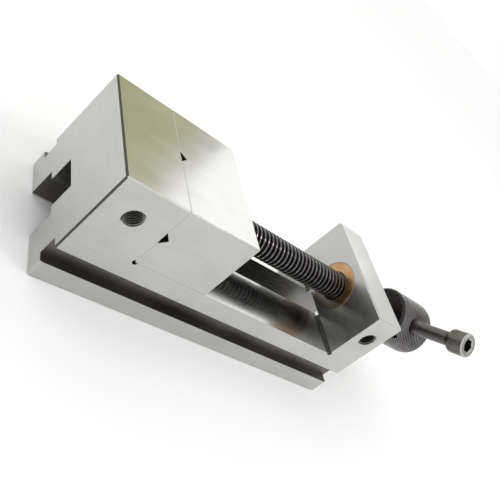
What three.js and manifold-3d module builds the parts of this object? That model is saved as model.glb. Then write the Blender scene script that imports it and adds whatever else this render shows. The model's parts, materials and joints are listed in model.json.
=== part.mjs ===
// A screw-type toolmaker's grinding vise, standing on its base with the jaws closed.
// Millimetres, +Z up. X runs from the fixed jaw to the knob, Y across the jaws.
// The origin is under the middle of the whole vise, knob included, on the surface it stands on.

import * as THREE from 'three';
import { mergeVertices } from 'three/addons/utils/BufferGeometryUtils.js';
import Module from 'manifold-3d';

// Overall sizes of the one-piece hardened body
const OVERALL_LENGTH = 249;
const BODY_LENGTH = 190;
const WIDTH = 73;
const HEIGHT = 67;
const BASE_HEIGHT = 30.6;
const FIXED_JAW = 33;
const MOVABLE_JAW = 42;
const REAR_WALL = 21;
const EDGE = 0.8;

// Clamp slots along both sides, and the stepped guide channel from end to end below
const FOOT_HEIGHT = 10;
const SLOT_TOP = 20;
const SLOT_DEPTH = 5;
const CHANNEL_WIDTH = 28.6;
const CHANNEL_HEIGHT = 16.4;
const GUIDE_WIDTH = 18;
const GUIDE_TOP = 31.3;
const RELIEF_RADIUS = 1.4;

// Tapped side holes, in the middle of the fixed jaw and of the rear wall
const SIDE_HOLE_HEIGHT = 50;
const SIDE_HOLE_RADIUS = 4.25;
const SIDE_HOLE_MOUTH = 5.4;
const SIDE_HOLE_DEPTH = 18;

// Movable jaw: V grooves in its face, guide tongue, bore for the nose of the screw
const SLIDE_GAP = 0.05;
const JAW_EDGE = 0.5;
const GROOVE_DEPTH = 3.7;
const GROOVE_HEIGHT = 48.5;
const TONGUE_WIDTH = 17.9;
const NOSE_BORE_RADIUS = 7.2;
const NOSE_BORE_BOTTOM = 45;
const RETAINING_PIN_X = 54.2;
const RETAINING_PIN_Y = 6.65;
const RETAINING_PIN_RADIUS = 2;
const RETAINING_PIN_BOTTOM = 20;
const RETAINING_PIN_TOP = 58;

// Keeper plate that holds the jaw down, and its two screws
const KEEPER_BOTTOM = 4.8;
const KEEPER_TOP = 16.32;
const KEEPER_WIDTH = 28.2;
const KEEPER_INSET = 1;
const KEEPER_SCREWS = { front: 41, rear: 67 };
const COUNTERBORE_RADIUS = 5.5;
const COUNTERBORE_TOP = 12.5;
const CAP_HEAD_RADIUS = 5;
const CAP_HEAD_BOTTOM = 5.2;
const CAP_HEAD_TOP = 11.3;
const WASHER_TOP = 12.42;
const SHANK_RADIUS = 2.9;
const SHANK_TOP = 36;
const CLEARANCE = 0.1;

// Lead screw, its bronze nut and the knurled knob
const SCREW_HEIGHT = 48;
const THREAD_RADIUS = 8;
const THREAD_START = 75.6;
const THREAD_END = 196;
const NOSE_RADIUS = 7;
const NOSE_END = 49.2;
const NECK_RADIUS = 4.5;
const NECK_LENGTH = 4.4;
const SHANK_END = 248.2;
const KNOB_SHANK_RADIUS = 7.4;
const NUT_RADIUS = 14.4;
const NUT_BORE_RADIUS = 8.2;
const NUT_SEAT_RADIUS = 14.5;
const KNOB_START = 216.6;
const KNOB_RADIUS = 17;
const KNOB_EDGE = 1.2;
const KNOB_PIN_X = 221.5;
const KNOB_PIN_RADIUS = 1.5;

// Cross bar through the knob, its socket head and its end cap
const BAR_X = 231;
const BAR_TURN = 50;
const BAR_RADIUS = 4.25;
const BAR_HOLE_RADIUS = 4.45;
const BAR_HALF_LENGTH = 43.3;
const SPIGOT_RADIUS = 3;
const SPIGOT_LENGTH = 4;
const HEAD_RADIUS = 7;
const HEAD_LENGTH = 12;
const HEAD_SOCKET_WIDTH = 7;
const HEAD_SOCKET_DEPTH = 6;

// Facets of round pieces, from small pins to the knob
const SMALL_SIDES = 20;
const MEDIUM_SIDES = 32;
const LARGE_SIDES = 48;

// Derived places along X
const MOVABLE_JAW_END = FIXED_JAW + MOVABLE_JAW;
const WALL_START = BODY_LENGTH - REAR_WALL;
const WALL_MIDDLE = BODY_LENGTH - REAR_WALL / 2;

const wasm = await Module();
wasm.setup();

const groundSteel = new THREE.MeshStandardMaterial({ color: 0xb4b5b0, roughness: 0.3, metalness: 1 });
const oxideSteel = new THREE.MeshStandardMaterial({ color: 0x2b2928, roughness: 0.4, metalness: 0.9 });
const greySteel = new THREE.MeshStandardMaterial({ color: 0x6c6b60, roughness: 0.35, metalness: 1 });
const bronze = new THREE.MeshStandardMaterial({ color: 0xb5793f, roughness: 0.35, metalness: 1 });

// ---- Solids and geometry ----

function solidOf(geometry) {
  const bare = geometry.index ? geometry.toNonIndexed() : geometry.clone();
  bare.deleteAttribute('normal');
  bare.deleteAttribute('uv');
  const merged = mergeVertices(bare, 1e-4);
  const vertProperties = new Float32Array(merged.attributes.position.array);
  const triVerts = new Uint32Array(merged.index.array);
  return new wasm.Manifold(new wasm.Mesh({ numProp: 3, vertProperties, triVerts }));
}

function geometryOf(solid) {
  const mesh = solid.getMesh();
  const geometry = new THREE.BufferGeometry();
  geometry.setAttribute('position', new THREE.BufferAttribute(mesh.vertProperties, 3));
  geometry.setIndex(new THREE.BufferAttribute(mesh.triVerts, 1));
  geometry.computeVertexNormals();
  return geometry;
}

function outline(points) {
  return new THREE.Shape(points.map(([u, v]) => new THREE.Vector2(u, v)));
}

// A rectangle from low to high with its four corners cut off by edge.
function cutRectangle([u0, v0], [u1, v1], edge) {
  return [
    [u0 + edge, v0],
    [u1 - edge, v0],
    [u1, v0 + edge],
    [u1, v1 - edge],
    [u1 - edge, v1],
    [u0 + edge, v1],
    [u0, v1 - edge],
    [u0, v0 + edge],
  ];
}

// Extrudes (y, z) points along X, (x, z) points along Y, and (x, y) points along Z.
function extrudeX(points, x0, x1) {
  const geometry = new THREE.ExtrudeGeometry(outline(points), { depth: x1 - x0, bevelEnabled: false });
  const turn = new THREE.Matrix4().makeBasis(
    new THREE.Vector3(0, 1, 0),
    new THREE.Vector3(0, 0, 1),
    new THREE.Vector3(1, 0, 0),
  );
  geometry.applyMatrix4(turn);
  geometry.translate(x0, 0, 0);
  return solidOf(geometry);
}

function extrudeY(points, y0, y1) {
  const geometry = new THREE.ExtrudeGeometry(outline(points), { depth: y1 - y0, bevelEnabled: false });
  geometry.rotateX(Math.PI / 2);
  geometry.translate(0, y1, 0);
  return solidOf(geometry);
}

function extrudeZ(points, z0, z1) {
  const geometry = new THREE.ExtrudeGeometry(outline(points), { depth: z1 - z0, bevelEnabled: false });
  geometry.translate(0, 0, z0);
  return solidOf(geometry);
}

// A block with every edge broken: three extrusions of a cut rectangle, one along each axis.
function block([x0, y0, z0], [x1, y1, z1], edge) {
  const alongX = extrudeX(cutRectangle([y0, z0], [y1, z1], edge), x0, x1);
  const alongY = extrudeY(cutRectangle([x0, z0], [x1, z1], edge), y0, y1);
  const alongZ = extrudeZ(cutRectangle([x0, y0], [x1, y1], edge), z0, z1);
  return alongX.intersect(alongY).intersect(alongZ);
}

function box([x0, y0, z0], [x1, y1, z1]) {
  const geometry = new THREE.BoxGeometry(x1 - x0, y1 - y0, z1 - z0);
  geometry.translate((x0 + x1) / 2, (y0 + y1) / 2, (z0 + z1) / 2);
  return solidOf(geometry);
}

// Turns a closed profile of [distance along the axis, radius] points about an axis through a place.
function turned(profile, sides, axis, place) {
  const points = profile.map(([along, radius]) => new THREE.Vector2(radius, along));
  const geometry = new THREE.LatheGeometry(points, sides);
  const direction = new THREE.Vector3(...axis);
  const turn = new THREE.Quaternion().setFromUnitVectors(new THREE.Vector3(0, 1, 0), direction);
  geometry.applyQuaternion(turn);
  geometry.translate(...place);
  return solidOf(geometry);
}

function rod(radius, from, to, sides, axis, place) {
  return turned([[from, 0], [from, radius], [to, radius], [to, 0]], sides, axis, place);
}

function ring(inner, outer, from, to, sides, axis, place) {
  const profile = [[from, inner], [from, outer], [to, outer], [to, inner], [from, inner]];
  return turned(profile, sides, axis, place);
}

// A hexagonal prism along Z, measured across its flats.
function hexagon(width, z0, z1, [x, y]) {
  const radius = width / Math.sqrt(3);
  const corners = [...Array(6).keys()].map((corner) => {
    const angle = (corner * Math.PI) / 3;
    return [x + radius * Math.cos(angle), y + radius * Math.sin(angle)];
  });
  return extrudeZ(corners, z0, z1);
}

function named(name, solid, material) {
  const mesh = new THREE.Mesh(geometryOf(solid), material);
  mesh.name = name;
  return mesh;
}

// ---- Body group: the one-piece body, the bronze nut and its lock screws ----

function bodyBlank() {
  const side = [
    [EDGE, 0],
    [BODY_LENGTH - EDGE, 0],
    [BODY_LENGTH, EDGE],
    [BODY_LENGTH, HEIGHT - EDGE],
    [BODY_LENGTH - EDGE, HEIGHT],
    [WALL_START + EDGE, HEIGHT],
    [WALL_START, HEIGHT - EDGE],
    [WALL_START, BASE_HEIGHT],
    [FIXED_JAW, BASE_HEIGHT],
    [FIXED_JAW, HEIGHT],
    [EDGE, HEIGHT],
    [0, HEIGHT - EDGE],
    [0, EDGE],
  ];
  const half = WIDTH / 2;
  const end = cutRectangle([-half, 0], [half, HEIGHT], EDGE);
  const plan = cutRectangle([0, -half], [BODY_LENGTH, half], EDGE);
  const blank = extrudeY(side, -half, half);
  return blank.intersect(extrudeX(end, 0, BODY_LENGTH)).intersect(extrudeZ(plan, 0, HEIGHT));
}

function guideChannel() {
  const wide = CHANNEL_WIDTH / 2;
  const narrow = GUIDE_WIDTH / 2;
  const stepped = [
    [-wide, -1],
    [wide, -1],
    [wide, CHANNEL_HEIGHT],
    [narrow, CHANNEL_HEIGHT],
    [narrow, GUIDE_TOP],
    [-narrow, GUIDE_TOP],
    [-narrow, CHANNEL_HEIGHT],
    [-wide, CHANNEL_HEIGHT],
  ];
  return extrudeX(stepped, -1, BODY_LENGTH + 1);
}

function clampSlot(side) {
  const inner = side * (WIDTH / 2 - SLOT_DEPTH);
  const outer = side * (WIDTH / 2 + 1);
  const low = [-1, Math.min(inner, outer), FOOT_HEIGHT];
  const high = [BODY_LENGTH + 1, Math.max(inner, outer), SLOT_TOP];
  return box(low, high);
}

// A side hole with a bevelled mouth, drilled inwards from one side to the given depth.
function sideHole(x, side, depth) {
  const bevel = SIDE_HOLE_MOUTH - SIDE_HOLE_RADIUS;
  const profile = [
    [-1, 0],
    [-1, SIDE_HOLE_MOUTH + 1],
    [bevel, SIDE_HOLE_RADIUS],
    [depth, SIDE_HOLE_RADIUS],
    [depth + SIDE_HOLE_RADIUS / 2, 0],
  ];
  const place = [x, (side * WIDTH) / 2, SIDE_HOLE_HEIGHT];
  return turned(profile, MEDIUM_SIDES, [0, -side, 0], place);
}

function body() {
  let solid = bodyBlank().subtract(guideChannel());
  for (const x of [FIXED_JAW, WALL_START]) {
    const groove = rod(RELIEF_RADIUS, -WIDTH, WIDTH, SMALL_SIDES, [0, 1, 0], [x, 0, BASE_HEIGHT]);
    solid = solid.subtract(groove);
  }
  const nutSeat = rod(NUT_SEAT_RADIUS, WALL_START - 1, BODY_LENGTH + 1, LARGE_SIDES, [1, 0, 0], [0, 0, SCREW_HEIGHT]);
  solid = solid.subtract(nutSeat);
  const wallHoleDepth = WIDTH / 2 - NUT_RADIUS + 1;
  for (const side of [-1, 1]) {
    solid = solid.subtract(clampSlot(side));
    solid = solid.subtract(sideHole(FIXED_JAW / 2, side, SIDE_HOLE_DEPTH));
    solid = solid.subtract(sideHole(WALL_MIDDLE, side, wallHoleDepth));
  }
  return named('body', solid, groundSteel);
}

function screwNut() {
  const start = WALL_START + SLIDE_GAP;
  const end = BODY_LENGTH - SLIDE_GAP;
  const bevel = 0.6;
  const profile = [
    [start, NUT_BORE_RADIUS + bevel],
    [start, NUT_RADIUS],
    [end - bevel, NUT_RADIUS],
    [end, NUT_RADIUS - bevel],
    [end, NUT_BORE_RADIUS + bevel],
    [end - bevel, NUT_BORE_RADIUS],
    [start + bevel, NUT_BORE_RADIUS],
    [start, NUT_BORE_RADIUS + bevel],
  ];
  return named('screw_nut', turned(profile, LARGE_SIDES, [1, 0, 0], [0, 0, SCREW_HEIGHT]), bronze);
}

// A socket set screw in the tapped hole of the rear wall, its point against the nut.
function nutLockScrew(name, side) {
  const tip = 14.6;
  const length = 10;
  const radius = SIDE_HOLE_RADIUS - CLEARANCE;
  const profile = [[0, 0], [0, radius - 1.5], [1.5, radius], [length, radius], [length, 0]];
  const upright = turned(profile, SMALL_SIDES, [0, 1, 0], [0, 0, 0]);
  const socket = solidOf(geometryOf(hexagon(5, length - 4, length + 1, [0, 0])).rotateX(-Math.PI / 2));
  const mesh = named(name, upright.subtract(socket), oxideSteel);
  mesh.rotation.x = side > 0 ? 0 : Math.PI;
  mesh.position.set(WALL_MIDDLE, side * tip, SIDE_HOLE_HEIGHT);
  return mesh;
}

// ---- Jaw group: the movable jaw and what it carries ----

function vGrooves() {
  const face = FIXED_JAW;
  const depth = GROOVE_DEPTH + 1;
  const across = [
    [face - 1, GROOVE_HEIGHT - depth],
    [face - 1, GROOVE_HEIGHT + depth],
    [face + GROOVE_DEPTH, GROOVE_HEIGHT],
  ];
  const upright = [
    [face - 1, -depth],
    [face + GROOVE_DEPTH, 0],
    [face - 1, depth],
  ];
  return extrudeY(across, -WIDTH, WIDTH).add(extrudeZ(upright, BASE_HEIGHT - 1, HEIGHT + 1));
}

function jawHoles() {
  const rear = MOVABLE_JAW_END + 1;
  const bore = rod(NOSE_BORE_RADIUS, NOSE_BORE_BOTTOM, rear, MEDIUM_SIDES, [1, 0, 0], [0, 0, SCREW_HEIGHT]);
  let holes = bore;
  for (const side of [-1, 1]) {
    const place = [RETAINING_PIN_X, side * RETAINING_PIN_Y, 0];
    const top = RETAINING_PIN_TOP + 1;
    holes = holes.add(rod(RETAINING_PIN_RADIUS + CLEARANCE, 0, top, SMALL_SIDES, [0, 0, 1], place));
  }
  for (const x of Object.values(KEEPER_SCREWS)) {
    holes = holes.add(rod(SHANK_RADIUS + CLEARANCE, 0, SHANK_TOP + 1, SMALL_SIDES, [0, 0, 1], [x, 0, 0]));
  }
  return holes;
}

function movableJaw() {
  const half = WIDTH / 2;
  const low = [FIXED_JAW + SLIDE_GAP, -half, BASE_HEIGHT + SLIDE_GAP];
  const head = block(low, [MOVABLE_JAW_END, half, HEIGHT], JAW_EDGE);
  const tongueLow = [FIXED_JAW + JAW_EDGE, -TONGUE_WIDTH / 2, CHANNEL_HEIGHT];
  const tongueHigh = [MOVABLE_JAW_END - JAW_EDGE, TONGUE_WIDTH / 2, BASE_HEIGHT + 2];
  const solid = head.add(box(tongueLow, tongueHigh)).subtract(vGrooves()).subtract(jawHoles());
  return named('movable_jaw', solid, groundSteel);
}

function keeperPlate() {
  const half = KEEPER_WIDTH / 2;
  const low = [FIXED_JAW + KEEPER_INSET, -half, KEEPER_BOTTOM];
  let solid = block(low, [MOVABLE_JAW_END - KEEPER_INSET, half, KEEPER_TOP], JAW_EDGE);
  for (const x of Object.values(KEEPER_SCREWS)) {
    const place = [x, 0, 0];
    solid = solid.subtract(rod(SHANK_RADIUS + 0.4, 0, KEEPER_TOP + 1, SMALL_SIDES, [0, 0, 1], place));
    solid = solid.subtract(rod(COUNTERBORE_RADIUS, 0, COUNTERBORE_TOP, MEDIUM_SIDES, [0, 0, 1], place));
  }
  return named('keeper_plate', solid, groundSteel);
}

function keeperScrew(name, x) {
  const profile = [
    [CAP_HEAD_BOTTOM, 0],
    [CAP_HEAD_BOTTOM, CAP_HEAD_RADIUS - 0.5],
    [CAP_HEAD_BOTTOM + 0.5, CAP_HEAD_RADIUS],
    [CAP_HEAD_TOP, CAP_HEAD_RADIUS],
    [CAP_HEAD_TOP, SHANK_RADIUS],
    [SHANK_TOP, SHANK_RADIUS],
    [SHANK_TOP, 0],
  ];
  const socket = hexagon(5, CAP_HEAD_BOTTOM - 1, CAP_HEAD_BOTTOM + 3, [x, 0]);
  const solid = turned(profile, SMALL_SIDES, [0, 0, 1], [x, 0, 0]).subtract(socket);
  return named(name, solid, oxideSteel);
}

function keeperWasher(name, x) {
  const inner = SHANK_RADIUS + 2 * CLEARANCE;
  const outer = CAP_HEAD_RADIUS + CLEARANCE;
  const bottom = CAP_HEAD_TOP + SLIDE_GAP;
  const solid = ring(inner, outer, bottom, WASHER_TOP, SMALL_SIDES, [0, 0, 1], [x, 0, 0]);
  return named(name, solid, oxideSteel);
}

function thrustPad() {
  const start = NOSE_BORE_BOTTOM + CLEARANCE;
  const radius = NOSE_RADIUS - 2 * CLEARANCE;
  const solid = rod(radius, start, NOSE_END - 2 * CLEARANCE, MEDIUM_SIDES, [1, 0, 0], [0, 0, SCREW_HEIGHT]);
  return named('thrust_pad', solid, greySteel);
}

function retainingPin(name, side) {
  const place = [RETAINING_PIN_X, side * RETAINING_PIN_Y, 0];
  const pin = rod(RETAINING_PIN_RADIUS, RETAINING_PIN_BOTTOM, RETAINING_PIN_TOP, SMALL_SIDES, [0, 0, 1], place);
  return named(name, pin, greySteel);
}

// ---- Spindle group: screw, knob and pin, with the cross bar along the group's own Z ----

function leadScrew() {
  const neckStart = RETAINING_PIN_X - NECK_LENGTH / 2;
  const neckEnd = RETAINING_PIN_X + NECK_LENGTH / 2;
  const profile = [
    [NOSE_END, 0],
    [NOSE_END, NOSE_RADIUS - 1],
    [NOSE_END + 1, NOSE_RADIUS],
    [neckStart, NOSE_RADIUS],
    [neckStart, NECK_RADIUS],
    [neckEnd, NECK_RADIUS],
    [neckEnd, NOSE_RADIUS],
    [THREAD_START, NOSE_RADIUS],
    [THREAD_START + 1, THREAD_RADIUS],
    [THREAD_END, THREAD_RADIUS],
    [THREAD_END + 1, KNOB_SHANK_RADIUS],
    [SHANK_END, KNOB_SHANK_RADIUS],
    [SHANK_END, 0],
  ];
  const blank = turned(profile, MEDIUM_SIDES, [1, 0, 0], [0, 0, 0]);
  return named('lead_screw', blank.subtract(crossHoles()), oxideSteel);
}

// The hole for the cross bar, and the smaller one for the pin at right angles to it.
function crossHoles() {
  const reach = KNOB_RADIUS + 1;
  const barHole = rod(BAR_HOLE_RADIUS, -reach, reach, MEDIUM_SIDES, [0, 0, 1], [BAR_X, 0, 0]);
  const pinRadius = KNOB_PIN_RADIUS + CLEARANCE;
  return barHole.add(rod(pinRadius, -reach, reach, SMALL_SIDES, [0, 1, 0], [KNOB_PIN_X, 0, 0]));
}

function handKnob() {
  const bore = KNOB_SHANK_RADIUS + CLEARANCE;
  const profile = [
    [KNOB_START, bore],
    [KNOB_START, KNOB_RADIUS - KNOB_EDGE],
    [KNOB_START + KNOB_EDGE, KNOB_RADIUS],
    [OVERALL_LENGTH - KNOB_EDGE, KNOB_RADIUS],
    [OVERALL_LENGTH, KNOB_RADIUS - KNOB_EDGE],
    [OVERALL_LENGTH, bore],
    [KNOB_START, bore],
  ];
  const blank = turned(profile, LARGE_SIDES, [1, 0, 0], [0, 0, 0]);
  return named('hand_knob', blank.subtract(crossHoles()), oxideSteel);
}

function knobPin() {
  const half = KNOB_RADIUS - 0.4;
  const pin = rod(KNOB_PIN_RADIUS, -half, half, SMALL_SIDES, [0, 1, 0], [KNOB_PIN_X, 0, 0]);
  return named('knob_pin', pin, greySteel);
}

// ---- Bar group: the sliding cross bar with its two heads ----

function handleBar() {
  const tip = BAR_HALF_LENGTH + SPIGOT_LENGTH;
  const groove = BAR_HALF_LENGTH - 0.9;
  const upperHalf = [
    [groove - 0.4, BAR_RADIUS],
    [groove, BAR_RADIUS - 0.6],
    [BAR_HALF_LENGTH, BAR_RADIUS - 0.6],
    [BAR_HALF_LENGTH, SPIGOT_RADIUS],
    [tip, SPIGOT_RADIUS],
    [tip, 0],
  ];
  const lowerHalf = upperHalf.map(([along, radius]) => [-along, radius]).reverse();
  return named('handle_bar', turned([...lowerHalf, ...upperHalf], MEDIUM_SIDES, [0, 0, 1], [0, 0, 0]), oxideSteel);
}

// The turned outside of a bar head, standing on the end of the bar, with a blind hole for its spigot.
function barHeadBlank() {
  const start = BAR_HALF_LENGTH + 0.2;
  const end = start + HEAD_LENGTH;
  const profile = [
    [start, 0],
    [start, HEAD_RADIUS - 2],
    [start + 2, HEAD_RADIUS],
    [end - 0.9, HEAD_RADIUS],
    [end, HEAD_RADIUS - 0.9],
    [end, 0],
  ];
  const hole = rod(SPIGOT_RADIUS + CLEARANCE, 0, start + SPIGOT_LENGTH, SMALL_SIDES, [0, 0, 1], [0, 0, 0]);
  return turned(profile, MEDIUM_SIDES, [0, 0, 1], [0, 0, 0]).subtract(hole);
}

function barSocketHead() {
  const end = BAR_HALF_LENGTH + 0.2 + HEAD_LENGTH;
  const socket = hexagon(HEAD_SOCKET_WIDTH, end - HEAD_SOCKET_DEPTH, end + 1, [0, 0]);
  return named('bar_socket_head', barHeadBlank().subtract(socket), greySteel);
}

function barEndCap() {
  const cap = named('bar_end_cap', barHeadBlank(), greySteel);
  cap.rotation.x = Math.PI;
  return cap;
}

// ---- The vise ----

const bodyGroup = new THREE.Group();
bodyGroup.add(body());
bodyGroup.add(screwNut());
bodyGroup.add(nutLockScrew('nut_lock_screw_near', -1));
bodyGroup.add(nutLockScrew('nut_lock_screw_far', 1));

const jawGroup = new THREE.Group();
jawGroup.add(movableJaw());
jawGroup.add(keeperPlate());
for (const [place, x] of Object.entries(KEEPER_SCREWS)) {
  jawGroup.add(keeperScrew(`keeper_screw_${place}`, x));
  jawGroup.add(keeperWasher(`keeper_washer_${place}`, x));
}
jawGroup.add(thrustPad());
jawGroup.add(retainingPin('retaining_pin_near', -1));
jawGroup.add(retainingPin('retaining_pin_far', 1));

const barGroup = new THREE.Group();
barGroup.position.x = BAR_X;
barGroup.add(handleBar());
barGroup.add(barSocketHead());
barGroup.add(barEndCap());

const spindleGroup = new THREE.Group();
spindleGroup.position.z = SCREW_HEIGHT;
spindleGroup.rotation.x = THREE.MathUtils.degToRad(BAR_TURN);
spindleGroup.add(leadScrew());
spindleGroup.add(handKnob());
spindleGroup.add(knobPin());
spindleGroup.add(barGroup);

const vise = new THREE.Group();
vise.position.x = -OVERALL_LENGTH / 2;
vise.add(bodyGroup);
vise.add(jawGroup);
vise.add(spindleGroup);

export default vise;
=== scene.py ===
"""Looks of the toolmaker's grinding vise: fine shapes, materials, floor, lights and camera."""

import json
import math

import bmesh
import bpy
from mathutils import Matrix, Vector


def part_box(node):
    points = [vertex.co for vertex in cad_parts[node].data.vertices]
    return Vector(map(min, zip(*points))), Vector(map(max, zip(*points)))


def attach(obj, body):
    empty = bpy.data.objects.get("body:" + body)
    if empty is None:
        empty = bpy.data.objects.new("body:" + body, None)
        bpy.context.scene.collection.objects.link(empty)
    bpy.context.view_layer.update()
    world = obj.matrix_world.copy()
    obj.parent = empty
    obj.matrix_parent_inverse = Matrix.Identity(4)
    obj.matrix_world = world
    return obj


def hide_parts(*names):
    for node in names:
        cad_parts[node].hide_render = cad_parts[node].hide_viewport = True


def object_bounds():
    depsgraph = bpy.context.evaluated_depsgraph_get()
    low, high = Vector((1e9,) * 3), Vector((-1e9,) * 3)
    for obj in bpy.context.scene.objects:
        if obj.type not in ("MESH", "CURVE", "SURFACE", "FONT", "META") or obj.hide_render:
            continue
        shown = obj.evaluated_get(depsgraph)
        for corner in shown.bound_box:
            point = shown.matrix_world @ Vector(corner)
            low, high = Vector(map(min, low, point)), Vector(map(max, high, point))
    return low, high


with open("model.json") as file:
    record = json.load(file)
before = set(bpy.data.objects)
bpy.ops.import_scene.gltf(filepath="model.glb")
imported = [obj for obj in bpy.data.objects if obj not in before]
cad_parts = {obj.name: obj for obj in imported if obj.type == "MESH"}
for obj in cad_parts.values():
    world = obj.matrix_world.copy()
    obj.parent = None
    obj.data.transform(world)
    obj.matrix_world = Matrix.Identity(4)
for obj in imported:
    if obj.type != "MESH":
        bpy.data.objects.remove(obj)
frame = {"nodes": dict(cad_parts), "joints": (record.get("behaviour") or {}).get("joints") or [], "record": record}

CAD_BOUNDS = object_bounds()
MM = 0.001

# ---- Places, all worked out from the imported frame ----

RECORD = frame["record"]
JOINTS = {joint["name"]: joint for joint in frame["joints"]}
BODY_OF = {node: body for body, nodes in RECORD["behaviour"]["bodies"].items() for node in nodes}
SLOT_OF = {part["node"]: part["material_slot"] for part in RECORD["subparts"]}

KNOB_CROSSING = Vector(JOINTS["screw_turn"]["pos_m"])
SCREW_LINE = Vector((0, 0, KNOB_CROSSING.z))
BAR_DIRECTION = Vector(JOINTS["bar_slide"]["axis"]).normalized()
BODY_LOW, BODY_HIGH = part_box("body")
SCREW_LOW, SCREW_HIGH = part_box("lead_screw")
KNOB_LOW, KNOB_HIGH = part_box("hand_knob")
NUT_LOW, NUT_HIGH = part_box("screw_nut")
JAW_LOW, JAW_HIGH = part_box("movable_jaw")

SIDE_HOLE_PLACES = ((BODY_LOW.x + JAW_LOW.x) / 2, (NUT_LOW.x + NUT_HIGH.x) / 2)
SIDE_HOLE_HEIGHT = 50 * MM
SIDE_HOLE_DEPTH = 17 * MM
BED_HEIGHT = 30.6 * MM
BED_REACH = 0.6 * MM

# ---- Fine sizes that the CAD leaves plain ----

THREAD_PITCH = JOINTS["jaw_slide"]["range_m"][1] / (JOINTS["screw_turn"]["range_deg"][1] / 360)
THREAD_RADIUS = 8.0 * MM
THREAD_DEPTH = 1.55 * MM
NOSE_RADIUS = 7.0 * MM
NECK_RADIUS = 4.5 * MM
NECK_LENGTH = 4.4 * MM
SHANK_RADIUS = 7.4 * MM
NUT_BORE_RADIUS = 8.2 * MM
HOLE_PITCH = 1.5 * MM
HOLE_MINOR_RADIUS = 4.25 * MM
HOLE_MAJOR_RADIUS = 5.0 * MM
KNURL_DEPTH = 0.65 * MM
KNURL_PITCH = 1.7 * MM
KNOB_EDGE = 1.3 * MM
KNOB_LAND = 2.6 * MM
BAR_RADIUS = 4.25 * MM
BAR_HOLE_RADIUS = 4.5 * MM
BAR_HOLE_MOUTH = 5.3 * MM
BAR_HALF_LENGTH = 43.3 * MM
HEAD_RADIUS = 7.0 * MM
HEAD_LENGTH = 12.0 * MM
HEAD_GAP = 0.2 * MM
SOCKET_WIDTH = 7.0 * MM
SOCKET_DEPTH = 6.0 * MM
PIN_HOLE_GAP = 0.1 * MM
EDGE_BREAK = 0.22 * MM
SMALL_EDGE_BREAK = 0.1 * MM
LAPPED_GAP = 0.06 * MM

# ---- Reach and strength of the grain, the raw and shaded recesses, the painted dark reflection on the front bevels, and the rubbed crests, with a painted highlight on the knob's ----

SLOT_DEPTH = 5.2 * MM
SLOT_SKIN = 0.5 * MM
SLOT_HEIGHTS = (9.8 * MM, 20.2 * MM)
CHANNEL_HALF_WIDTH = 14.35 * MM
CHANNEL_HEIGHTS = (0.8 * MM, 16.5 * MM)
GUIDE_HALF_WIDTH = 9.05 * MM
GUIDE_HEIGHTS = (0.8 * MM, 30.0 * MM)
GUIDE_STRENGTH = 0.55
HOLE_PATCH_RADIUS = 5.2 * MM
HOLE_PATCH_DEPTH = 20 * MM
HOLE_SKIN = 0.9 * MM
HOLE_STRENGTH = 0.85
RELIEF_START = 9.2 * MM
RELIEF_SKIN = 0.4 * MM
RELIEF_HEIGHTS = (28.9 * MM, 30.3 * MM)
RELIEF_OVERRUN = 6 * MM
# where the bevels round the front end get a painted dark reflection
DARK_REFLECTION_SLANT = (-0.86, -0.5)
DARK_REFLECTION_HEIGHT = 20 * MM
DARK_REFLECTION_STRENGTH = 0.93
FAR = 1.0
GRAIN_SCALE = 3600
GRAIN_STRETCH = 0.008
END_CALM = 0.7
END_ROUGHNESS = 0.14
RAW_ROUGHNESS = 0.2
SCREW_RUB_DEPTH = 0.2 * MM
KNURL_WEAR_AND_HIGHLIGHT_DEPTH = 0.35 * MM

# ---- Colours, as linear RGB ----

GROUND_LIGHT = (0.58, 0.58, 0.563)
GROUND_DARK = (0.49, 0.49, 0.473)
# recess colours: partly raw milled metal, partly painted shade
RAW_AND_SHADE_DARK = (0.1, 0.094, 0.085)
RAW_AND_SHADE_LIGHT = (0.19, 0.18, 0.165)
# painted dark reflection on the front-end bevels
PAINTED_DARK_REFLECTION_COLOUR = (0.05, 0.048, 0.045)
OXIDE_DARK = (0.11, 0.102, 0.103)
OXIDE_LIGHT = (0.165, 0.153, 0.154)
SCREW_DARK = (0.035, 0.032, 0.033)
SCREW_LIGHT = (0.07, 0.064, 0.065)
SCREW_WORN = (0.17, 0.165, 0.16)
KNOB_DARK = (0.025, 0.023, 0.024)
KNOB_LIGHT = (0.05, 0.046, 0.047)
# knurl crests: partly rubbed oxide, partly a painted highlight
KNOB_WORN_AND_HIGHLIGHT = (0.8, 0.78, 0.77)
GREY_DARK = (0.1, 0.095, 0.08)
GREY_LIGHT = (0.2, 0.195, 0.165)
HEAD_FACE = (0.3, 0.295, 0.275)
# painted highlight colour for the bevel of the bar's head
HEAD_BEVEL_HIGHLIGHT = (0.5, 0.49, 0.46)
BRONZE_DARK = (0.42, 0.24, 0.11)
BRONZE_LIGHT = (0.7, 0.45, 0.24)
# painted shade for the bronze's lower part, under the screw
BRONZE_LOWER_SHADE = (0.24, 0.215, 0.19)
FLOOR_DARK = (0.975, 0.975, 0.975)
FLOOR_LIGHT = (0.985, 0.985, 0.985)
ROOM_COLOUR = (1, 1, 1)
PATCH_COLOUR = (0.68, 0.66, 0.42)


# ---- Placing and finishing pieces ----

def along_x(place):
    """Turns a shape made along local Z so that it runs along +X from a place."""
    turn = Matrix(((0, 0, 1), (1, 0, 0), (0, 1, 0))).to_4x4()
    return Matrix.Translation(place) @ turn


def along(direction, place):
    """Turns a shape made along local Z so that it runs along any direction from a place."""
    turn = Vector((0, 0, 1)).rotation_difference(Vector(direction)).to_matrix().to_4x4()
    return Matrix.Translation(place) @ turn


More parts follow.
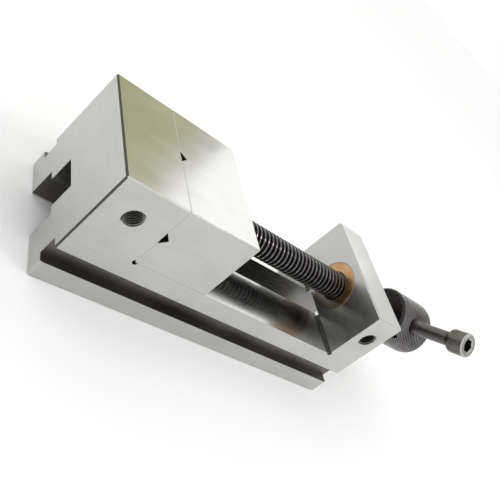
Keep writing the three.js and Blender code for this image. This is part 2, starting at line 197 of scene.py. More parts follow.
def piece_from(name, bm, matrix=None):
    """Makes an object of a finished bmesh, with its faces pointing out and shaded smooth."""
    if matrix is not None:
        bmesh.ops.transform(bm, matrix=matrix, verts=bm.verts)
    bmesh.ops.recalc_face_normals(bm, faces=bm.faces)
    mesh = bpy.data.meshes.new(name)
    bm.to_mesh(mesh)
    bm.free()
    mesh.shade_smooth()
    piece = bpy.data.objects.new(name, mesh)
    bpy.context.scene.collection.objects.link(piece)
    return piece


def settle(piece):
    """Turns a piece's modifiers into its own mesh."""
    bpy.context.view_layer.update()
    graph = bpy.context.evaluated_depsgraph_get()
    mesh = bpy.data.meshes.new_from_object(piece.evaluated_get(graph))
    piece.modifiers.clear()
    piece.data = mesh
    return piece


def carve(piece, cutter):
    """Cuts a closed shape out of a piece."""
    cut = piece.modifiers.new("carve", "BOOLEAN")
    cut.object = cutter
    cut.operation = "DIFFERENCE"
    cut.solver = "EXACT"
    settle(piece)
    bpy.data.objects.remove(cutter)
    return piece


def break_edges(piece, width, segments=2):
    """Rounds every sharp edge a little, as a deburred edge is."""
    bevel = piece.modifiers.new("edge_break", "BEVEL")
    bevel.width = width
    bevel.segments = segments
    bevel.limit_method = "ANGLE"
    bevel.angle_limit = math.radians(28)
    settle(piece)
    piece.data.shade_smooth()
    return piece


def sharpen(piece, degrees=35):
    """Keeps the faces on either side of a sharp edge from shading into each other."""
    bm = bmesh.new()
    bm.from_mesh(piece.data)
    for edge in bm.edges:
        edge.smooth = not (edge.is_manifold and edge.calc_face_angle(0) > math.radians(degrees))
    bm.to_mesh(piece.data)
    bm.free()
    even = piece.modifiers.new("even_normals", "WEIGHTED_NORMAL")
    even.keep_sharp = True
    even.weight = 90
    return piece


def show(piece, node):
    """Shows a piece in place of a CAD node, on the same body."""
    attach(piece, BODY_OF[node])
    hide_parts(node)
    return piece


# ---- Shapes ----

def turned(name, profile, sides, matrix):
    """A closed turned shape from (along, radius) points; a radius of 0 is a point on the axis."""
    bm = bmesh.new()
    rows = [turned_row(bm, distance, radius, sides) for distance, radius in profile]
    for low, high in zip(rows, rows[1:]):
        join_rows(bm, low, high, sides)
    bmesh.ops.remove_doubles(bm, verts=bm.verts, dist=1e-7)
    return piece_from(name, bm, matrix)


def turned_row(bm, distance, radius, sides):
    if radius == 0:
        return [bm.verts.new((0, 0, distance))]
    radii = radius if isinstance(radius, list) else [radius] * sides
    row = []
    for side, reach in enumerate(radii):
        angle = 2 * math.pi * side / sides
        row.append(bm.verts.new((reach * math.cos(angle), reach * math.sin(angle), distance)))
    return row


def join_rows(bm, low, high, sides):
    """Joins two rings, or a ring and a point; a quad with unequal corners splits along its valley."""
    for side in range(sides):
        after = (side + 1) % sides
        if len(low) == 1:
            bm.faces.new((low[0], high[after], high[side]))
        elif len(high) == 1:
            bm.faces.new((low[side], low[after], high[0]))
        else:
            quad = (low[side], low[after], high[after], high[side])
            reach = [corner.co.xy.length for corner in quad]
            rise = (reach[0] + reach[2]) - (reach[1] + reach[3])
            if abs(rise) < 1e-7:
                bm.faces.new(quad)
            elif rise > 0:
                bm.faces.new((quad[0], quad[1], quad[3]))
                bm.faces.new((quad[1], quad[2], quad[3]))
            else:
                bm.faces.new((quad[0], quad[1], quad[2]))
                bm.faces.new((quad[0], quad[2], quad[3]))


def helix(name, before, after, thread, sides, matrix):
    """A turned shape with a right-hand helical thread between its first and last rows.

    before and after are (along, radius) rows of the plain stretches, outermost first and last.
    thread is (start, end, outer radius, depth, pitch, plain radius at the start, and at the end).
    """
    start, end, outer, depth, pitch, plain_start, plain_end = thread
    form = [(0.0, 0.25), (0.05, 0.0), (0.33, 0.0), (0.38, 0.25), (0.56, 1.0), (0.82, 1.0)]
    rows_per_turn = len(form)
    turns = int((end - start) / pitch) - 1
    count = turns * rows_per_turn
    bm = bmesh.new()

    def vertex(row, side):
        share, fall = form[row % rows_per_turn]
        lift = row // rows_per_turn + share + side / sides
        fade_in = min(max(lift - 1, 0), 1)
        fade_out = min(max(turns - lift, 0), 1)
        plain = plain_start if lift < turns / 2 else plain_end
        radius = plain + (outer - depth * fall - plain) * fade_in * fade_out
        angle = 2 * math.pi * side / sides
        return bm.verts.new((radius * math.cos(angle), radius * math.sin(angle), start + pitch * lift))

    grid = [[vertex(row, side) for side in range(sides)] for row in range(count + 1)]
    spine = [row[0] for row in grid]
    spine += [vertex(count + extra, 0) for extra in range(1, rows_per_turn + 1)]

    def at(row, side):
        return grid[row][side] if side < sides else spine[row + rows_per_turn]

    for row in range(count):
        for side in range(sides):
            bm.faces.new((at(row, side), at(row, side + 1), at(row + 1, side + 1), at(row + 1, side)))
    first = [turned_row(bm, distance, radius, sides) for distance, radius in before]
    last = [turned_row(bm, distance, radius, sides) for distance, radius in after]
    for rows in (first, last):
        for low, high in zip(rows, rows[1:]):
            join_rows(bm, low, high, sides)
    low, high = first[-1], last[0]
    for side in range(sides - 1):
        bm.faces.new((low[side], low[side + 1], grid[0][side + 1], grid[0][side]))
    bm.faces.new([low[-1], low[0], *spine[: rows_per_turn + 1], grid[0][-1]])
    for side in range(1, sides):
        bm.faces.new((at(count, side), at(count, side + 1), high[(side + 1) % sides], high[side]))
    climb = [spine[count + extra] for extra in range(rows_per_turn, 0, -1)]
    bm.faces.new([grid[count][0], grid[count][1], high[1], high[0], *climb])
    return piece_from(name, bm, matrix)


def hexagon(name, width, depth, matrix):
    """A hexagonal prism along Z with a pointed inner end, as a broached socket has."""
    bm = bmesh.new()
    radius = width / math.sqrt(3)
    profile = [(-0.9 * MM, 0), (0, radius * 0.8), (0, radius), (depth + 1 * MM, radius), (depth + 1 * MM, 0)]
    rows = [turned_row(bm, distance, reach, 6) for distance, reach in profile]
    for low, high in zip(rows, rows[1:]):
        join_rows(bm, low, high, 6)
    return piece_from(name, bm, matrix)


# ---- Materials ----

class Nodes:
    """A small helper for building a node material top to bottom."""

    def __init__(self, name):
        self.material = bpy.data.materials.new(name)
        self.material.use_nodes = True
        self.tree = self.material.node_tree
        self.shader = self.tree.nodes["Principled BSDF"]
        self.place = self.add("ShaderNodeTexCoord")

    def add(self, kind, **values):
        node = self.tree.nodes.new(kind)
        for name, value in values.items():
            if name in node.inputs:
                node.inputs[name].default_value = value
            else:
                setattr(node, name, value)
        return node

    def link(self, source, target):
        self.tree.links.new(source, target)
        return target.node

    def noise(self, scale, stretch=(1, 1, 1), detail=4.0, roughness=0.55, distortion=0.0):
        """Noise with its grain size set by scale, stretched along the axes with small numbers."""
        mapping = self.add("ShaderNodeMapping", Scale=stretch)
        self.link(self.place.outputs["Object"], mapping.inputs["Vector"])
        noise = self.add("ShaderNodeTexNoise", Scale=scale, Detail=detail, Roughness=roughness)
        noise.inputs["Distortion"].default_value = distortion
        self.link(mapping.outputs["Vector"], noise.inputs["Vector"])
        return noise.outputs["Fac"]

    def range(self, value, low, high, from_low=0.3, from_high=0.7):
        spread = self.add("ShaderNodeMapRange", **{"To Min": low, "To Max": high})
        spread.inputs["From Min"].default_value = from_low
        spread.inputs["From Max"].default_value = from_high
        self.link(value, spread.inputs["Value"])
        return spread.outputs["Result"]

    def math(self, operation, first, second):
        node = self.add("ShaderNodeMath", operation=operation)
        for socket, value in zip(node.inputs, (first, second)):
            if isinstance(value, (int, float)):
                socket.default_value = value
            else:
                self.link(value, socket)
        return node.outputs["Value"]

    def mix(self, share, first, second):
        """Mixes two colours, each a socket or an RGB triple."""
        node = self.add("ShaderNodeMix", data_type="RGBA")
        self.link(share, node.inputs["Factor"])
        for socket, value in zip((node.inputs[6], node.inputs[7]), (first, second)):
            if isinstance(value, tuple):
                socket.default_value = (*value, 1)
            else:
                self.link(value, socket)
        return node.outputs[2]

    def finish(self, colour, roughness, height=None, strength=0.3, distance=0.02 * MM):
        self.link(colour, self.shader.inputs["Base Color"])
        self.link(roughness, self.shader.inputs["Roughness"])
        if height is not None:
            bump = self.add("ShaderNodeBump", Strength=strength, Distance=distance)
            self.link(height, bump.inputs["Height"])
            self.link(bump.outputs["Normal"], self.shader.inputs["Normal"])
        return self.material


def face_share(nodes, axis, low, high):
    """How far a face looks along an axis, either way: 0 below low, 1 above high."""
    split = nodes.add("ShaderNodeSeparateXYZ")
    nodes.link(nodes.place.outputs["Normal"], split.inputs["Vector"])
    size = nodes.math("ABSOLUTE", split.outputs[axis], 0)
    return nodes.range(size, 0, 1, low, high)


def between(nodes, value, low, high, soft=0.2 * MM):
    """1 where a place lies between two values and 0 outside, with a soft edge."""
    above = nodes.range(value, 0, 1, low - soft, low)
    below = nodes.range(value, 1, 0, high, high + soft)
    return nodes.math("MULTIPLY", above, below)


def place_share(nodes, x=None, y=None, z=None, soft=0.2 * MM):
    """1 inside a box, given as (low, high) pairs in x, in distance off the middle plane, and in z."""
    split = nodes.add("ShaderNodeSeparateXYZ")
    nodes.link(nodes.place.outputs["Object"], split.inputs["Vector"])
    off_middle = nodes.math("ABSOLUTE", split.outputs[1], 0)
    share = 1.0
    for value, limits in ((split.outputs[0], x), (off_middle, y), (split.outputs[2], z)):
        if limits is not None:
            share = nodes.math("MULTIPLY", share, between(nodes, value, *limits, soft))
    return share


def raw_and_shade_share(nodes):
    """How raw and shaded a place is: 1 in the milled clamping slots, the channel and the relief grooves, less in
    the guide and the holes; the dark colour laid there is partly raw milled metal and partly painted shade in
    these recesses.
    """
    half = BODY_HIGH.y
    slots = place_share(nodes, y=(half - SLOT_DEPTH, half - SLOT_SKIN), z=SLOT_HEIGHTS)
    channel = place_share(nodes, y=(-FAR, CHANNEL_HALF_WIDTH), z=CHANNEL_HEIGHTS)
    guide = place_share(nodes, y=(-FAR, GUIDE_HALF_WIDTH), z=GUIDE_HEIGHTS)
    relief = place_share(nodes, x=(JAW_LOW.x - RELIEF_OVERRUN, NUT_LOW.x + RELIEF_OVERRUN),
                         y=(RELIEF_START, half - RELIEF_SKIN), z=RELIEF_HEIGHTS)
    # the recesses are darkened partly as raw milled metal and partly as painted shade
    raw_and_shade = nodes.math("MAXIMUM", nodes.math("MULTIPLY", guide, GUIDE_STRENGTH), relief)
    for share in (slots, channel):
        raw_and_shade = nodes.math("MAXIMUM", raw_and_shade, share)
    for x in SIDE_HOLE_PLACES:
        hole = place_share(nodes, x=(x - HOLE_PATCH_RADIUS, x + HOLE_PATCH_RADIUS),
                           y=(half - HOLE_PATCH_DEPTH, half - HOLE_SKIN),
                           z=(SIDE_HOLE_HEIGHT - HOLE_PATCH_RADIUS, SIDE_HOLE_HEIGHT + HOLE_PATCH_RADIUS))
        raw_and_shade = nodes.math("MAXIMUM", raw_and_shade, nodes.math("MULTIPLY", hole, HOLE_STRENGTH))
    return raw_and_shade


def painted_dark_reflection_share(nodes):
    """1 on the bevels round the front end, where a dark reflection is painted on, 0 elsewhere."""
    split = nodes.add("ShaderNodeSeparateXYZ")
    nodes.link(nodes.place.outputs["Normal"], split.inputs["Vector"])
    bevel = between(nodes, split.outputs[0], *DARK_REFLECTION_SLANT, 0.08)
    front = place_share(nodes, x=(-FAR, BODY_LOW.x + 1 * MM), z=(DARK_REFLECTION_HEIGHT, FAR))
    return nodes.math("MULTIPLY", bevel, front)


def ground_steel(name, light, dark, rough):
    """Hardened steel off the surface grinder: fine parallel lines, a soft haze, recesses darkened partly as raw
    milled metal and partly as painted shade, and a painted dark reflection on the front-end bevels.
    """
    nodes = Nodes(name)
    nodes.shader.inputs["Metallic"].default_value = 1.0
    long_lines = nodes.noise(GRAIN_SCALE, (GRAIN_STRETCH, 1, 1), detail=3.0)
    cross_lines = nodes.noise(GRAIN_SCALE, (1, GRAIN_STRETCH, 1), detail=3.0)
    on_end = face_share(nodes, 0, 0.6, 0.8)
    lines = nodes.math("ADD", nodes.math("MULTIPLY", cross_lines, on_end),
                       nodes.math("MULTIPLY", long_lines, nodes.math("SUBTRACT", 1, on_end)))
    haze = nodes.noise(34, (0.6, 1, 1), detail=5.0, distortion=0.6)
    calm = nodes.math("MULTIPLY", on_end, END_CALM)
    haze = nodes.math("ADD", nodes.math("MULTIPLY", haze, nodes.math("SUBTRACT", 1, calm)),
                      nodes.math("MULTIPLY", calm, 0.5))
    cloud = nodes.noise(28, detail=3.0, distortion=0.4)
    colour = nodes.mix(nodes.range(haze, 0, 1), dark, light)
    colour = nodes.mix(nodes.range(lines, 0.0, 0.16, 0.35, 0.75), colour, tuple(0.6 * part for part in dark))
    # painted dark reflection on the bevels round the front end
    colour = nodes.mix(nodes.math("MULTIPLY", painted_dark_reflection_share(nodes), DARK_REFLECTION_STRENGTH), colour, PAINTED_DARK_REFLECTION_COLOUR)
    # the recesses are darkened: partly raw milled metal, partly painted shade where light falls short
    raw_and_shade = raw_and_shade_share(nodes)
    colour = nodes.mix(raw_and_shade, colour, nodes.mix(nodes.range(cloud, 0, 1), RAW_AND_SHADE_DARK, RAW_AND_SHADE_LIGHT))
    soft = nodes.range(haze, rough - 0.05, rough + 0.06)
    soft = nodes.math("ADD", soft, nodes.math("MULTIPLY", raw_and_shade, RAW_ROUGHNESS))
    soft = nodes.math("ADD", soft, nodes.math("MULTIPLY", on_end, END_ROUGHNESS))
    fine = nodes.range(lines, -0.035, 0.035)
    return nodes.finish(colour, nodes.math("ADD", soft, fine), lines, strength=0.05)


def black_steel(name, dark, light, rough, crest_reach=None, crest_depth=None, crest_wear_and_highlight=None):
    """Black oxide over turned steel, with paler patches.

    crest_reach is the distance of the crests from the screw's axis, where the crests take the colour
    crest_wear_and_highlight: oxide rubbed off on the screw, and on the knob rubbed off and lightened further as a
    painted highlight; crest_depth is how far below the crests the paler band begins.
    """
    nodes = Nodes(name)
    nodes.shader.inputs["Metallic"].default_value = 0.9
    patches = nodes.noise(160, detail=6.0, roughness=0.65)
    specks = nodes.noise(2600, detail=2.0)
    colour = nodes.mix(nodes.range(patches, 0, 1), dark, light)
    if crest_reach is not None:
        reach = nodes.add("ShaderNodeVectorMath", operation="LENGTH")
        across = nodes.add("ShaderNodeMapping")
        across.inputs["Location"].default_value = (0, 0, -KNOB_CROSSING.z)
        across.inputs["Scale"].default_value = (0, 1, 1)
        nodes.link(nodes.place.outputs["Object"], across.inputs["Vector"])
        nodes.link(across.outputs["Vector"], reach.inputs[0])
        crest = nodes.range(reach.outputs["Value"], 0, 0.95, crest_reach - crest_depth, crest_reach - 0.3 * crest_depth)
        # the crests take a paler colour: rubbed oxide, and on the knob also a painted highlight
        colour = nodes.mix(crest, colour, crest_wear_and_highlight)
    patchy = nodes.range(patches, rough - 0.06, rough + 0.08)
    soft = nodes.math("ADD", patchy, nodes.range(specks, -0.04, 0.04))
    return nodes.finish(colour, soft, specks, strength=0.12)


def grey_steel():
    """Turned grey steel with an olive trace of oil, brighter on the end of the bar's head, with a painted
    highlight on the bevel of the head.
    """
    nodes = Nodes("grey_steel")
    nodes.shader.inputs["Metallic"].default_value = 1.0
    patches = nodes.noise(220, detail=5.0)
    specks = nodes.noise(3000, detail=2.0)
    colour = nodes.mix(nodes.range(patches, 0, 1), GREY_DARK, GREY_LIGHT)
    rough = nodes.math("ADD", nodes.range(patches, 0.24, 0.36), nodes.range(specks, -0.05, 0.05))
    along_bar = nodes.add("ShaderNodeVectorMath", operation="DOT_PRODUCT")
    nodes.link(nodes.place.outputs["Object"], along_bar.inputs[0])
    along_bar.inputs[1].default_value = BAR_DIRECTION
    reach = nodes.math("SUBTRACT", along_bar.outputs["Value"], KNOB_CROSSING.dot(BAR_DIRECTION))
    end = BAR_HALF_LENGTH + HEAD_GAP + HEAD_LENGTH
    colour = nodes.mix(between(nodes, reach, end - 0.2 * MM, FAR, 0.1 * MM), colour, HEAD_FACE)
    # painted highlight on the bevel of the bar's head
    bevel = between(nodes, reach, end - 0.95 * MM, end - 0.3 * MM, 0.1 * MM)
    colour = nodes.mix(bevel, colour, HEAD_BEVEL_HIGHLIGHT)
    return nodes.finish(colour, rough, specks, strength=0.2)


def bronze():
    """Faced bronze: warm orange metal with darker tarnish, painted shade on its lower part under the screw, and
    fine turning marks.
    """
    nodes = Nodes("bronze")
    nodes.shader.inputs["Metallic"].default_value = 1.0
    tarnish = nodes.noise(120, detail=6.0, roughness=0.6)
    marks = nodes.noise(2400, detail=2.0)
    colour = nodes.mix(nodes.range(tarnish, 0, 1), BRONZE_DARK, BRONZE_LIGHT)
    # painted shade: the lower part of the bronze darkens, as under the screw
    below = place_share(nodes, z=(-FAR, KNOB_CROSSING.z - 4 * MM), soft=9 * MM)
    colour = nodes.mix(nodes.math("MULTIPLY", below, 0.85), colour, BRONZE_LOWER_SHADE)
    rough = nodes.math("ADD", nodes.range(tarnish, 0.26, 0.42), nodes.range(marks, -0.05, 0.05))
    return nodes.finish(colour, rough, marks, strength=0.2)


MATERIALS = {
    "ground_steel": ground_steel("ground_steel", GROUND_LIGHT, GROUND_DARK, 0.16),
    "black_steel": black_steel("black_steel", OXIDE_DARK, OXIDE_LIGHT, 0.26),
    "grey_steel": grey_steel(),
    "bronze": bronze(),
}
SCREW_STEEL = black_steel("screw_steel", SCREW_DARK, SCREW_LIGHT, 0.2,
                          THREAD_RADIUS - 0.05 * MM, SCREW_RUB_DEPTH, SCREW_WORN)
# the knob's crests are lightened well past bare steel: partly rubbed oxide, partly painted highlight
KNOB_STEEL = black_steel("knob_steel", KNOB_DARK, KNOB_LIGHT, 0.26,
                         (KNOB_HIGH.z - KNOB_LOW.z) / 2, KNURL_WEAR_AND_HIGHLIGHT_DEPTH, KNOB_WORN_AND_HIGHLIGHT)


def paint(piece, node, material=None):
    piece.data.materials.clear()
    piece.data.materials.append(material or MATERIALS[SLOT_OF[node]])
    return show(piece, node)


# ---- Pieces that follow a CAD node's own shape ----

def cleaned(node, lapped=None):
    """A copy of a CAD node with its triangles joined into whole flat faces.

    lapped is (low, high, level): the corners between the two heights go flat to the level.
    """
    bm = bmesh.new()
    bm.from_mesh(frame["nodes"][node].data)
    if lapped is not None:
        low, high, level = lapped
        for corner in bm.verts:
            if low < corner.co.z < high:
                corner.co.z = level
        bmesh.ops.remove_doubles(bm, verts=bm.verts, dist=1e-6)
        bmesh.ops.dissolve_degenerate(bm, edges=bm.edges, dist=1e-6)
    bmesh.ops.remove_doubles(bm, verts=bm.verts, dist=1e-6)
    bmesh.ops.dissolve_limit(bm, angle_limit=math.radians(0.8), verts=bm.verts, edges=bm.edges)
    return piece_from(f"{node}_finished", bm)


def tapped_cutter(place, inward, depth):
    """The helical groove of a tapped hole, as a shape to cut out of the metal around it."""
    thread = (-2.5 * HOLE_PITCH, depth, HOLE_MAJOR_RADIUS, HOLE_MAJOR_RADIUS - HOLE_MINOR_RADIUS + 0.02 * MM,
              HOLE_PITCH, HOLE_MINOR_RADIUS - 0.05 * MM, HOLE_MINOR_RADIUS - 0.05 * MM)
    plain = HOLE_MINOR_RADIUS - 0.05 * MM
    before = [(-3 * HOLE_PITCH, 0), (-3 * HOLE_PITCH, plain)]
    after = [(depth, plain), (depth, 0)]
    return helix("tap", before, after, thread, 40, along(inward, place))


def body_piece():
    piece = break_edges(cleaned("body"), EDGE_BREAK)
    for side in (-1, 1):
        for x in SIDE_HOLE_PLACES:
            place = Vector((x, side * BODY_HIGH.y, SIDE_HOLE_HEIGHT))
            carve(piece, tapped_cutter(place, (0, -side, 0), SIDE_HOLE_DEPTH))
    return sharpen(piece)


def jaw_piece():
    """The movable jaw, with its underside lapped down to the bed, a hair's breadth clear of it."""
    piece = cleaned("movable_jaw", (BED_HEIGHT, BED_HEIGHT + BED_REACH, BED_HEIGHT + LAPPED_GAP))
    return sharpen(break_edges(piece, EDGE_BREAK / 2))


paint(body_piece(), "body")
paint(jaw_piece(), "movable_jaw")
paint(sharpen(break_edges(cleaned("keeper_plate"), EDGE_BREAK)), "keeper_plate")
for node in ("nut_lock_screw_near", "nut_lock_screw_far", "keeper_screw_front", "keeper_screw_rear",
             "keeper_washer_front", "keeper_washer_rear", "thrust_pad", "retaining_pin_near",
             "retaining_pin_far", "knob_pin"):
    paint(sharpen(break_edges(cleaned(node), SMALL_EDGE_BREAK)), node)


# ---- The nut, the screw, the knob and the cross bar ----

def nut_piece():
    radius = (NUT_HIGH.y - NUT_LOW.y) / 2
    length = NUT_HIGH.x - NUT_LOW.x
    bevel = 0.6 * MM
    profile = [
        (0, NUT_BORE_RADIUS + bevel), (0, radius - 0.15 * MM), (0.15 * MM, radius), (length - bevel, radius),
        (length, radius - bevel), (length, NUT_BORE_RADIUS + bevel), (length - bevel, NUT_BORE_RADIUS),
        (bevel, NUT_BORE_RADIUS), (0, NUT_BORE_RADIUS + bevel),
    ]
    return turned("nut", profile, 96, along_x(SCREW_LINE + Vector((NUT_LOW.x, 0, 0))))


def screw_piece():
    thread_start = JAW_HIGH.x + 0.6 * MM - THREAD_PITCH
    thread_end = NUT_HIGH.x + 6 * MM + THREAD_PITCH
    pin_low, pin_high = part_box("retaining_pin_near")
    neck = (pin_low.x + pin_high.x) / 2
    before = [
        (SCREW_LOW.x, 0), (SCREW_LOW.x, NOSE_RADIUS - 1 * MM), (SCREW_LOW.x + 1 * MM, NOSE_RADIUS),
        (neck - NECK_LENGTH / 2, NOSE_RADIUS), (neck - NECK_LENGTH / 2, NECK_RADIUS),
        (neck + NECK_LENGTH / 2, NECK_RADIUS), (neck + NECK_LENGTH / 2, NOSE_RADIUS),
        (thread_start - 1 * MM, NOSE_RADIUS),
    ]
    after = [
        (thread_end + 1 * MM, SHANK_RADIUS), (SCREW_HIGH.x - 0.5 * MM, SHANK_RADIUS),
        (SCREW_HIGH.x, SHANK_RADIUS - 0.5 * MM), (SCREW_HIGH.x, 0),
    ]
    thread = (thread_start, thread_end, THREAD_RADIUS, THREAD_DEPTH, THREAD_PITCH, NOSE_RADIUS, SHANK_RADIUS)
    piece = helix("screw", before, after, thread, 72, along_x(SCREW_LINE))
    carve(piece, bar_hole("shank_hole"))
    return carve(piece, pin_hole("shank_pin_hole"))


def bar_hole(name):
    """The cross hole of the knob, with a bevelled mouth at both ends."""
    radius = (KNOB_HIGH.z - KNOB_LOW.z) / 2
    mouth = BAR_HOLE_MOUTH - BAR_HOLE_RADIUS
    half = [(radius - 0.2 * MM - mouth, BAR_HOLE_RADIUS), (radius + 1 * MM, BAR_HOLE_MOUTH + 1 * MM),
            (radius + 1 * MM, 0)]
    mirrored = [(-distance, reach) for distance, reach in reversed(half)]
    return turned(name, mirrored + half, 64, along(BAR_DIRECTION, KNOB_CROSSING))


def pin_hole(name):
    """The small cross hole of the knob and the screw, for their pin."""
    low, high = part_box("knob_pin")
    radius = (high.x - low.x) / 2 + PIN_HOLE_GAP
    reach = (KNOB_HIGH.z - KNOB_LOW.z) / 2 + 1 * MM
    place = Vector(((low.x + high.x) / 2, 0, KNOB_CROSSING.z))
    profile = [(-reach, 0), (-reach, radius), (reach, radius), (reach, 0)]
    return turned(name, profile, 32, along((0, 1, 0), place))


def knob_piece():
    """The knob: a diamond knurl between two smooth lands, bored for the shank of the screw."""
    radius = (KNOB_HIGH.z - KNOB_LOW.z) / 2
    length = KNOB_HIGH.x - KNOB_LOW.x
    bore = SHANK_RADIUS + 0.1 * MM
    diamonds = round(2 * math.pi * radius / KNURL_PITCH)
    sides = 2 * diamonds
    knurl_start = 0.7 * MM + KNOB_EDGE
    knurl_end = length - KNOB_LAND
    steps = 2 * round((knurl_end - knurl_start) / KNURL_PITCH)
    rows = [(0, bore), (0, radius - KNOB_EDGE - 0.3 * MM), (KNOB_EDGE, radius - KNURL_DEPTH)]
    for step in range(steps + 1):
        distance = knurl_start + (knurl_end - knurl_start) * step / steps
        rows.append((distance, [radius - KNURL_DEPTH * ((step + side) % 2) for side in range(sides)]))
    rows += [
        (knurl_end + 0.5 * MM, radius - KNURL_DEPTH), (length - KNOB_EDGE, radius - KNURL_DEPTH),
        (length, radius - KNOB_EDGE - KNURL_DEPTH), (length, bore), (0, bore),
    ]
    piece = turned("knob", rows, sides, along_x(SCREW_LINE + Vector((KNOB_LOW.x, 0, 0))))
    carve(piece, bar_hole("knob_hole"))
    return carve(piece, pin_hole("knob_pin_hole"))


def bar_piece():
    tip = BAR_HALF_LENGTH + 4 * MM
    half = [
        (BAR_HALF_LENGTH - 1.3 * MM, BAR_RADIUS), (BAR_HALF_LENGTH - 0.9 * MM, BAR_RADIUS - 0.6 * MM),
        (BAR_HALF_LENGTH, BAR_RADIUS - 0.6 * MM), (BAR_HALF_LENGTH, 3 * MM), (tip, 3 * MM), (tip, 0),
    ]
    mirrored = [(-distance, reach) for distance, reach in reversed(half)]
    return turned("bar", mirrored + half, 64, along(BAR_DIRECTION, KNOB_CROSSING))


def head_piece(name, direction, socket):
    """A head of the cross bar: a bevelled collar, with a hex socket in the end that has one."""
    start = BAR_HALF_LENGTH + HEAD_GAP
    end = start + HEAD_LENGTH
    hole = 3.1 * MM
    deep = start + 4 * MM
    profile = [(deep, 0), (deep, hole), (start, hole), (start, HEAD_RADIUS - 2 * MM)]
    for step in range(7):
        angle = math.pi / 2 * step / 6
        distance = start + 2.2 * MM * (1 - math.cos(angle))
        profile.append((distance, HEAD_RADIUS - 2 * MM * (1 - math.sin(angle))))
    profile += [(end - 0.9 * MM, HEAD_RADIUS), (end - 0.2 * MM, HEAD_RADIUS - 0.75 * MM),
                (end, HEAD_RADIUS - 1.1 * MM)]
    if socket:
        mouth = SOCKET_WIDTH / math.sqrt(3) + 0.5 * MM
        profile += [(end, mouth), (end - 0.9 * MM, mouth - 0.9 * MM), (end - 0.9 * MM, 0)]
    else:
        profile += [(end, 0)]
    matrix = along(direction, KNOB_CROSSING)
    piece = turned(name, profile, 72, matrix)
    if socket:
        bottom = end - SOCKET_DEPTH
        carve(piece, hexagon("hex", SOCKET_WIDTH, SOCKET_DEPTH, matrix @ Matrix.Translation((0, 0, bottom))))
    return piece


paint(sharpen(nut_piece()), "screw_nut")
paint(sharpen(screw_piece(), 60), "lead_screw", SCREW_STEEL)
paint(sharpen(knob_piece(), 25), "hand_knob", KNOB_STEEL)
paint(sharpen(bar_piece()), "handle_bar")
paint(sharpen(head_piece("bar_head", BAR_DIRECTION, True)), "bar_socket_head")
paint(sharpen(head_piece("bar_cap", -BAR_DIRECTION, False)), "bar_end_cap")


# ---- Floor, lights and camera ----

PATCH_HEADING = (71, 25)
PATCH_OUTER = math.radians(14.5)
PATCH_INNER = math.radians(11.5)
FAR_SOFTBOX = (45, 25, 1.6, (0.54, 0.42), 0.56)
LAMP = (-26, 49, 1.5, (0.3, 0.2), 2.4)
CAMERA_PLACE = Vector((-0.23676, -0.22999, 0.18946))
CAMERA_AIM = Vector((-0.0005, 0.0547, 0.0373))
CAMERA_ROLL = math.radians(49.38)
CAMERA_LENS = 47.56
CAMERA_RISE = -0.1


def floor():
    bm = bmesh.new()
    bmesh.ops.create_grid(bm, x_segments=8, y_segments=8, size=12)
    bmesh.ops.translate(bm, verts=bm.verts, vec=(0, 0, CAD_BOUNDS[0][2] - 0.1 * MM))
    piece = piece_from("floor", bm)
    nodes = Nodes("floor")
    tone = nodes.noise(3, detail=2.0)
    nodes.shader.inputs["Specular IOR Level"].default_value = 0.1
    nodes.finish(nodes.mix(tone, FLOOR_DARK, FLOOR_LIGHT), nodes.range(tone, 0.8, 0.9))
    piece.data.materials.append(nodes.material)


def heading(azimuth, elevation):
    """The direction at an azimuth from +X and an elevation, in degrees."""
    turn = math.radians(azimuth)
    rise = math.radians(elevation)
    return Vector((math.cos(turn) * math.cos(rise), math.sin(turn) * math.cos(rise), math.sin(rise)))


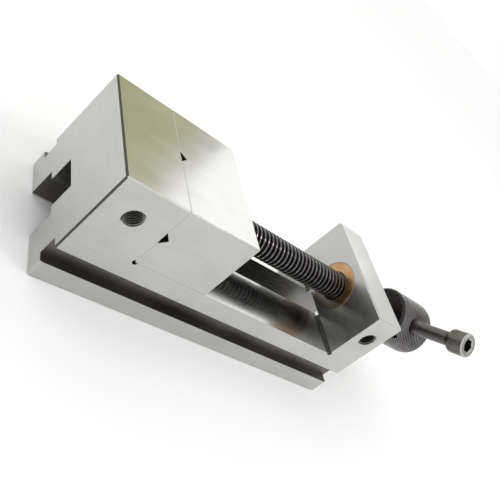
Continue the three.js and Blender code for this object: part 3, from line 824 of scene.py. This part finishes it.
def softbox(name, target, azimuth, elevation, distance, size, power):
    """A soft light facing the target, at an azimuth from +X, an elevation and a distance from it."""
    offset = heading(azimuth, elevation)
    data = bpy.data.lights.new(name, "AREA")
    data.shape = "RECTANGLE"
    data.size, data.size_y = size
    data.energy = power
    light = bpy.data.objects.new(name, data)
    light.location = Vector(target) + distance * offset
    light.rotation_euler = (-offset).to_track_quat("-Z", "Y").to_euler()
    bpy.context.scene.collection.objects.link(light)


def surroundings():
    """A white room with one warm, dimmer patch of wall, which the top of the fixed jaw reflects."""
    world = bpy.data.worlds.new("studio")
    world.use_nodes = True
    tree = world.node_tree
    background = tree.nodes["Background"]
    place = tree.nodes.new("ShaderNodeTexCoord")
    toward = tree.nodes.new("ShaderNodeVectorMath")
    toward.operation = "DOT_PRODUCT"
    toward.inputs[1].default_value = heading(*PATCH_HEADING)
    edge = tree.nodes.new("ShaderNodeMapRange")
    edge.inputs["From Min"].default_value = math.cos(PATCH_OUTER)
    edge.inputs["From Max"].default_value = math.cos(PATCH_INNER)
    tint = tree.nodes.new("ShaderNodeMix")
    tint.data_type = "RGBA"
    tint.inputs[6].default_value = (*ROOM_COLOUR, 1)
    tint.inputs[7].default_value = (*PATCH_COLOUR, 1)
    tree.links.new(place.outputs["Generated"], toward.inputs[0])
    tree.links.new(toward.outputs["Value"], edge.inputs["Value"])
    tree.links.new(edge.outputs["Result"], tint.inputs["Factor"])
    tree.links.new(tint.outputs[2], background.inputs["Color"])
    bpy.context.scene.world = world
    jaw_top = (JAW_LOW.x, 0, JAW_HIGH.z)
    softbox("far_softbox", jaw_top, *FAR_SOFTBOX)
    softbox("lamp", jaw_top, *LAMP)


def camera():
    data = bpy.data.cameras.new("camera")
    data.lens = CAMERA_LENS
    data.sensor_width = 36
    data.shift_y = CAMERA_RISE
    data.clip_start = 0.01
    forward = (CAMERA_AIM - CAMERA_PLACE).normalized()
    level = forward.cross(Vector((0, 0, 1))).normalized()
    right = level * math.cos(CAMERA_ROLL) + level.cross(forward) * math.sin(CAMERA_ROLL)
    up = right.cross(forward)
    turn = Matrix((right, up, -forward)).transposed().to_4x4()
    view = bpy.data.objects.new("camera", data)
    view.matrix_world = Matrix.Translation(CAMERA_PLACE) @ turn
    bpy.context.scene.collection.objects.link(view)
    bpy.context.scene.camera = view


floor()
surroundings()
camera()
bpy.context.scene.view_settings.view_transform = "Standard"
